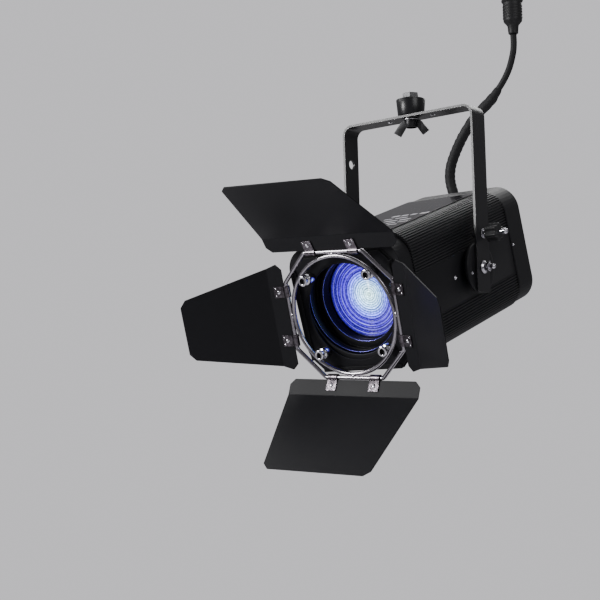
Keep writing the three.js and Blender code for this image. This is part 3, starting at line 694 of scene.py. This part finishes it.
def add_pivots():
    for side, word in ((1, "right"), (-1, "left")):
        out = sideways(side, shift(0, 0, -PIVOT_DROP))
        disc = turned(f"disc_{word}", [
            (83.4, 5.5), (83.4, 19.6), (90.6, 20), (91, 20.6), (91, 30.6), (91.6, 31.6), (92.6, 32),
            (95.4, 32), (96.3, 31.5), (96.6, 30.6), (96.6, 5.5), (83.4, 5.5)], out, 80)
        place("head", "body", [disc], [f"friction_disc_{word}"])
        washer = turned(f"pivot_washer_{word}", [
            (100.4, 5.1), (100.4, 7.6), (100.8, 8), (101.5, 8), (101.8, 7.6), (101.8, 6.6), (103.3, 6.4),
            (103.3, 5)], out)
        nut = hexagon(f"pivot_nut_{word}", 10.4, 103.4, 108.8, out, 0.3)
        stud = turned(f"pivot_stud_{word}", [
            (84, 0), (84, 4.9), (103, 4.9), *threads(103.4, 115, 3.2, 1.2, 0.35), (116, 2.4),
            (116.3, 0)], out, 32)
        place("head", "chrome", [nut, stud, washer], [f"pivot_bolt_{word}"])
        for front, up in ((22.3, -1.6), (-22.3, 1.6)):
            at = on_side(side, front, up)
            place("head", "chrome", [screw(f"disc_screw_{word}_{round(front)}", at, 96.5, 2, 0.4)])


def on_side(side, front, up):
    """A frame pointing out of the head's right or left side, at a place forward of the pivot and above it."""
    return sideways(side, HEAD) @ shift(-side * up, -front)


def screw(name, matrix, base, radius, tall=1.4):
    """A domed screw head with a socket, standing on local z = base."""
    return turned(name, [
        (base, 0), (base, radius), (base + tall * 0.45, radius), (base + tall * 0.8, radius * 0.8),
        (base + tall, radius * 0.5), (base + tall, radius * 0.4), (base + tall * 0.4, radius * 0.36),
        (base + tall * 0.3, 0)], matrix, 24)


def add_tilt_lock():
    out = sideways(1, shift(0, 0, -LOCK_DROP))
    angles = [2 * math.pi * i / 72 for i in range(72)]
    reach = [10 + 1.3 * math.cos(6 * a) for a in angles]
    lobes = [(r * math.cos(a), r * math.sin(a)) for r, a in zip(reach, angles)]
    grip = bevel(prism("lock_grip", lobes, 107.3, 124.2, out), 1.5, 40, 3)
    place("tilt_lock", "plastic", [grip], ["tilt_lock_knob"])
    collar = turned("lock_collar", [
        (100.5, 4.2), (100.5, 5.6), (100.9, 6), (102, 6), (102.3, 5.7), (102.3, 4.2)], out)
    stud = turned("lock_stud", [
        (86.2, 0), (86.2, 3.2), *threads(86.6, 101, 3.9, 1.2, 0.4), *threads(102.3, 107, 4.5, 1.2, 0.4),
        (124, 3.7), *threads(124.4, 133.6, 3.8, 1.2, 0.4), (134.6, 3), (135.1, 1.5), (135.2, 0)], out, 40)
    place("tilt_lock", "chrome", [stud, collar])


# ---------------------------------------------------------------- head

def finned(seam, side):
    """Half of the extruded body's section. The fins run from the seam up over the shoulder."""
    half, tall, corner, wall = BODY["half"], BODY["tall"], BODY["corner"], BODY["wall"]
    first, pitch, groove, depth, slope = 1.4, 3.45, 1.55, 2.1, 0.2
    straight = tall - corner - seam
    arc = corner * QUARTER

    def at(s, inset):
        if s < straight:
            return (half - inset, seam + s)
        if s > straight + arc:
            return (half - corner - (s - straight - arc), tall - inset)
        a, reach = (s - straight) / corner, corner - inset
        return (half - corner + reach * math.cos(a), tall - corner + reach * math.sin(a))

    right = [at(0, 0)]
    for i in range(int((straight + arc) / pitch)):
        s = first + i * pitch
        right += [at(s, 0), at(s + slope, depth), at(s + groove - slope, depth), at(s + groove, 0)]
    left = [(-x, y) for x, y in reversed(right)]
    inner = [(corner - half - (corner - wall) * math.cos(a), tall - corner + (corner - wall) * math.sin(a))
             for a in (QUARTER * i / 8 for i in range(9))]
    back = [(-x, y) for x, y in reversed(inner)]
    around = [*right, *left, (wall - half, seam), *inner, *back, (half - wall, seam)]
    return [(x, side * y) for x, y in around]


# The printed panel's rows: how far forward, how wide, and where each plain bar starts and ends.
LABEL_ROWS = [
    (20, 8, [(-4, 7), (10, 20), (24, 33), (38, 51)]), (37, 4, [(-6, 8), (11, 30)]),
    (52, 5, [(4, 24), (27, 44)]), (66, 4, [(16, 30), (33, 48)]), (79, 4, [(26, 40)]),
]


def add_body():
    for half, seam, side in (("upper", 25.4, 1), ("lower", 33.5, -1)):
        fins = prism(f"{half}_fins", finned(seam, side), BODY["back"], BODY["front"], FACE)
        place("head", "fins", [bevel(fins, 0.16, 40, 1)], [f"{half}_shell"])
    from_cad("side_rail_left", "head", "body", 0.5)
    from_cad("side_rail_right", "head", "body", 0.5)
    for side in (1, -1):
        for front, up, radius, base in ((42.5, -1, 2.6, 83), (-109.4, 4, 1.8, 84.5)):
            head = screw(f"side_screw_{side}_{round(front)}", on_side(side, front, up), base, radius, 1.5)
            place("head", "chrome", [head])
    top = HEAD @ shift(0, 0, BODY["tall"] + 0.3) @ Matrix.Diagonal((1, -1, 1, 1))
    plate = prism("label_blank", oblong(53, 105.5, 3, 0, 11.5), 0, 0.9, top)
    place("head", "label", [bevel(plate, 0.3)], ["label_plate"])
    for row, (front, wide, spans) in enumerate(LABEL_ROWS):
        for i, (start, end) in enumerate(spans):
            outline = oblong((end - start) / 2, wide / 2, wide * 0.3, (start + end) / 2, -front)
            mark = prism(f"label_bar_{row}_{i}", outline, 80.2, 80.24, HEAD)
            place("head", "marks", [mark])


def add_covers():
    skirt = prism("front_skirt", oblong(81.5, 75.5, 29), 125.3, 149, FACE, [oblong(78.5, 72.5, 26)])
    wall = prism("front_wall", oblong(81.5, 75.5, 29), 148, 151, FACE, [circle(64, 0, LENS_RISE, 96)])
    place("head", "body", [bevel(wall, 1.1, 40, 3), bevel(skirt, 0.4, 60)], ["front_cover"])
    rim = prism("rear_skirt", oblong(84.5, 77.5, 30), -145, -107, FACE, [oblong(81.5, 74.5, 27)])
    place("head", "body", [bevel(rim, 1.4, 60, 3)], ["rear_cover"])
    from_cad("rear_panel", "head", "sheet", 0.35)
    from_cad("display_window", "head", "window", 0.6)
    for word in ("in", "out"):
        from_cad(f"data_{word}_socket", "head", "plastic", 0.4)
    for word in ("menu", "down", "up", "enter"):
        from_cad(f"button_{word}", f"key_{word}", "plastic", 0.4)
    from_cad("safety_eye", "head", "steel", 0.5)
    add_gland()
    for x, y in ((68, 60), (-68, 60), (68, -60), (-68, -60)):
        at = FACE @ shift(x, y) @ Matrix.Rotation(math.pi, 4, "Y")
        place("head", "steel", [screw(f"panel_screw_{x}_{y}", at, 143, 2.6, 1.2)])


def add_gland():
    """A nut and a ribbed boot that narrows along the lead."""
    profile = [(143.3, 0), (143.3, 10.6), (143.7, 11), (148.4, 11), (149, 10.4), (149.4, 8.6)]
    for i in range(6):
        start, reach = 150.4 + i * 3, 8.2 - i * 0.36
        profile += [(start, reach), (start + 1.4, reach)]
        profile += [(start + 1.6, reach - 0.7), (start + 2.6, reach - 0.75)]
    profile += [(168.8, 5.6), (168.8, 0)]
    back = FACE @ shift(-42, 34) @ Matrix.Rotation(math.pi, 4, "Y")
    place("head", "rubber", [turned("gland_boot", profile, back, 32)], ["lead_gland"])


def cut_corners(half, corner, soft=1.5):
    """A square with its corners cut off, centred on the barn door."""
    near = half - corner
    points = [(half, near), (near, half), (-near, half), (-half, near), (-half, -near), (-near, -half),
              (near, -half), (half, -near)]
    return rounded([(x, y - DOOR_DROP) for x, y in points], soft, 3)


def door_hole(radius):
    return [circle(radius, 0, -DOOR_DROP, 96)]


def add_barrel():
    barrel = turned("barrel_steps", [
        (119.6, 52.8), (119.6, 63.2), (147.2, 63.2), (147.4, 63), (147.4, 62), (147, 61.8), (140, 61.8),
        (139.6, 61.2), (139, 61.8), (133.4, 61.8), (133, 61.4), (133, 53.4), (132.6, 52.7), (127, 52.7),
        (126.6, 52.2), (126, 52.7), (119.8, 52.6), (119.6, 52.8)], LENS, 128)
    place("head", "inside", [bevel(barrel, 0.15, 40, 1)], ["lens_barrel"])
    # Thin blue rings on the barrel's step edges, which glow a little: painted highlights of the lens's light.
    for i, (front, reach, wire) in enumerate(((133, 52.8, 0.3), (147.3, 62, 0.24), (120.2, 52.8, 0.2))):
        edge = tube(f"barrel_glint_ring_{i}", [(*p, front) for p in circle(reach, count=120)], wire, LENS, True, 8)
        place("head", "edge", [edge])


def add_holder():
    """A plate with a rail and a lip on three sides, which the gel frame and the barn door slide into."""
    outer, tall = 73, 57.5
    plate = prism("holder_plate", cut_corners(outer, 15), 151.35, 152.3, FACE, door_hole(62.5))
    edges = []
    for part, inner, corner, low in (("rail", 71.2, 0.4, 152), ("lip", 67.5, 0.8, 156)):
        for start, end in ((inner, outer), (-outer, -inner)):
            outline = oblong((end - start) / 2, tall, corner, (start + end) / 2, -DOOR_DROP)
            edges.append(prism(f"holder_{part}_{start}", outline, low, 157.2, FACE))
    edges.append(prism("holder_sill", oblong(tall, 0.9, 0.4, 0, -78.6), 152, 157.2, FACE))
    edges.append(prism("holder_sill_lip", oblong(tall, 2.7, 0.8, 0, -76.8), 156, 157.2, FACE))
    pieces = [bevel(plate, 0.25), *[bevel(edge, 0.3) for edge in edges]]
    place("head", "sheet", pieces, ["accessory_holder"])


def add_front():
    add_barrel()
    add_holder()
    gel = bevel(prism("gel_sheet", cut_corners(70.5, 13), 152.8, 154, FACE, door_hole(61)), 0.25)
    pull = bevel(prism("gel_pull", oblong(14, 5, 3, 0, 67), 152.8, 154, FACE), 0.25)
    place("gel_holder", "sheet", [gel, pull], ["gel_frame"])
    plate = bevel(prism("door_plate", cut_corners(70.5, 12.5), 154.4, 155.6, FACE, door_hole(60)), 0.3)
    place("head", "leaf", [plate], ["barndoor_plate"])
    post_at = 46.7
    for i, (sx, sy) in enumerate(((1, 1), (-1, 1), (-1, -1), (1, -1))):
        at = FACE @ shift(sx * post_at, sy * post_at - DOOR_DROP)
        post = turned(f"post_{i + 1}", [
            (155.95, 0), (155.95, 6.3), (156.4, 6.7), (166.6, 6.7), (167, 6.3), (167.3, 4.4), (167.8, 4),
            (172.2, 4), (172.7, 4.4), (173, 6.2), (173.3, 6.6), (173.9, 6.6), (174.4, 6.1), (174.6, 5.5),
            (174.6, 3.9), (174.4, 3.6)], at)
        socket = turned(f"post_socket_{i + 1}", [(174.35, 3.7), (174.2, 3.4), (171, 3.3), (170.8, 0)], at)
        place("head", "chrome", [post], [f"ring_post_{i + 1}"])
        place("head", "inside", [socket])


def add_lens():
    """The glass has a bulging back. Its front is stepped into rings, and dips towards the middle."""
    zones, reach, step = 17, 50, 1.1
    front, dish, rim = 118.6, 7.6, 51.6

    def face(radius):
        return front - dish * (1 - (radius / rim) ** 2)

    profile = [(103.6, 0), (105.2, 25), (109.6, 46), (109.6, 51), (110.1, 51.5), (118, 51.5), (118.4, 51.2),
               (118.4, reach + 0.2)]
    for i in range(zones, 0, -1):
        inner, outer = reach * (i - 1) / zones, reach * i / zones
        profile += [(face(outer) - step, outer - 0.1), (face(inner), inner + 0.25)]
    glass = turned("lens_glass_piece", [*profile, (front - dish, 0)], LENS, 96)
    place("lens_slide", "lens", [bevel(glass, 0.08, 20, 1)], ["fresnel_lens"])


def add_insides():
    for node, body, slot, paint, width in (
            ("lens_carriage", "lens_slide", "alloy", "inside", 0.3),
            ("zoom_knob", "lens_slide", "plastic", "plastic", 0.7),
            ("guide_rod_right", "head", "steel", "steel", 0.4),
            ("guide_rod_left", "head", "steel", "steel", 0.4),
            ("heat_sink", "head", "alloy", "alloy", 0.4),
            ("led_module", "head", "lamp", "lamp", 0.3),
            ("power_supply", "head", "alloy", "alloy", 1),
            ("control_board", "head", "board", "board", 0.2),
            ("fan_frame", "head", "plastic", "plastic", 0.6),
            ("fan_rotor", "fan", "plastic", "plastic", 0.3)):
        from_cad(node, body, paint, width)


# ---------------------------------------------------------------- barn door

def add_ring():
    wire = 2.6
    hoop = tube("hoop", [(*p, 0) for p in circle(73, count=120)], wire, DOOR, True, 16)
    flat, side = RING_FLAT, 42
    corners = [(flat, side), (side, flat), (-side, flat), (-flat, side), (-flat, -side), (-side, -flat),
               (side, -flat), (flat, -side)]
    octagon = tube("octagon", [(*p, 0) for p in rounded(corners, 5, 6)], wire, DOOR, True, 16)
    bead = [(-5, 0), (-4, 1.3), (-2, 2.5), (0, 2.9), (2, 2.4), (4.2, 1.2), (5, 0)]
    welds = []
    for i in range(4):
        at = DOOR @ Matrix.Rotation(i * QUARTER, 4, "Z") @ shift(75.5, 0) @ Matrix.Rotation(QUARTER, 4, "Z")
        welds.append(turned(f"weld_{i}", bead, sideways(1, at), 16))
    place("ring", "wire", [octagon, hoop, *welds], ["barndoor_ring"])


def leaf_blank(near, far, tapered, lean):
    """The flat outline. A tapered leaf narrows from its hinge edge on, the others only past the crease."""
    start, crease, length, cut = LEAF["start"], LEAF["crease"], LEAF["length"], LEAF["cut"]
    knee = near if not tapered else near - (near - far) * (crease - start) / (length - start)
    slope = (near - far) / (length - (start if tapered else crease))
    right = [(near - cut, start), (near, start + cut), (knee, crease), (far + slope * cut, length - cut),
             (far - cut, length)]
    outline = [*right, *[(-x, y) for x, y in reversed(right)]]
    soft = [1.5, 1.5, 0, 2, 2, 2, 2, 0, 1.5, 1.5]
    return rounded([(x + lean * (0.7 - y / length), y) for x, y in outline], soft, 3)


def leaf_shape(p):
    """Bends the flat blank across its crease, with a small inside radius."""
    crease, bend, radius = LEAF["crease"], LEAF["bend"], 4
    tangent = radius * math.tan(bend / 2)
    arc = radius * bend
    s = p.y - (crease - tangent)
    if s <= 0:
        return Vector((p.x, p.y, 0))
    if s < arc:
        a = s / radius
        return Vector((p.x, crease - tangent + radius * math.sin(a), radius * (1 - math.cos(a))))
    rest = s - arc + tangent
    return Vector((p.x, crease + rest * math.cos(bend), rest * math.sin(bend)))


def add_leaf(name, turn, opened, near, far, tapered=False, lean=0.0):
    matrix = (DOOR @ Matrix.Rotation(math.radians(turn), 4, "Z") @ shift(0, RING_FLAT)
              @ Matrix.Rotation(math.radians(opened), 4, "X"))
    cuts = [22.6 + 0.22 * k for k in range(9)] + [10, 16, 40, 60, 80, 100, 120]
    blank = leaf_blank(near, far, tapered, lean)
    leaf = bent_sheet(f"{name}_sheet", blank, [], cuts, leaf_shape, LEAF["thick"], matrix, 0.3)
    body = f"leaf_{name}_body"
    place(body, "leaf", [leaf], [f"leaf_{name}"])
    for i, x in enumerate((-31, 31)):
        add_clip(body, f"clip_{name}_{i + 1}", matrix @ shift(x, 0))


def add_clip(body, node, matrix):
    """A plated strip: a tail that lies on the leaf, curled most of the way round the wire."""
    middle, radius, half = 1.45, 3.8, 7
    tail = [(along, middle) for along in (17, 16, 14.6, 12, 9, 6)]
    first, last = math.asin(middle / radius), math.radians(333)
    angles = [first + (last - first) * k / 26 for k in range(27)]
    path = tail + [(radius * math.cos(a), radius * math.sin(a)) for a in angles]
    halves = [half - 0.3, half - 0.1] + [half] * (len(path) - 2)
    verts = [(side * reach, y, z) for (y, z), reach in zip(path, halves) for side in (-1, 0, 1)]
    corners = [3 * i + k for i in range(len(path) - 1) for k in range(2)]
    faces = [(c, c + 1, c + 4, c + 3) for c in corners]
    strip = thicken(mesh_object(f"{node}_strip", verts, faces, matrix), 1.1)
    rivet = turned(f"{node}_rivet", [
        (1.9, 0), (1.9, 2.7), (2.3, 2.6), (2.9, 2.1), (3.2, 1.2), (3.3, 0)], matrix @ shift(0, 10.5), 24)
    feet = [turned(f"{node}_foot_{k}", [
        (1.9, 0), (1.9, 1.2), (2.3, 1), (2.4, 0)], matrix @ shift(k * 4.6, 14.4), 12) for k in (-1, 1)]
    # The strip's dark, mottled plating paints in reflections of dark surroundings.
    place(body, "clip", [bevel(strip, 0.2, 50)], [node])
    place(body, "chrome", [rivet, *feet])


def add_barn_door():
    add_ring()
    add_leaf("top", 0, 21.5, 95, 76)
    add_leaf("left", 90, 10, 67, 37, True, -2.2)
    add_leaf("bottom", 180, 34, 95, 76)
    add_leaf("right", -90, 16, 67, 37, True, 2.2)


add_camera()
add_lead()
add_studio()
add_yoke()
add_hanging()
add_pivots()
add_tilt_lock()
add_body()
add_covers()
add_front()
add_lens()
add_insides()
add_barn_door()
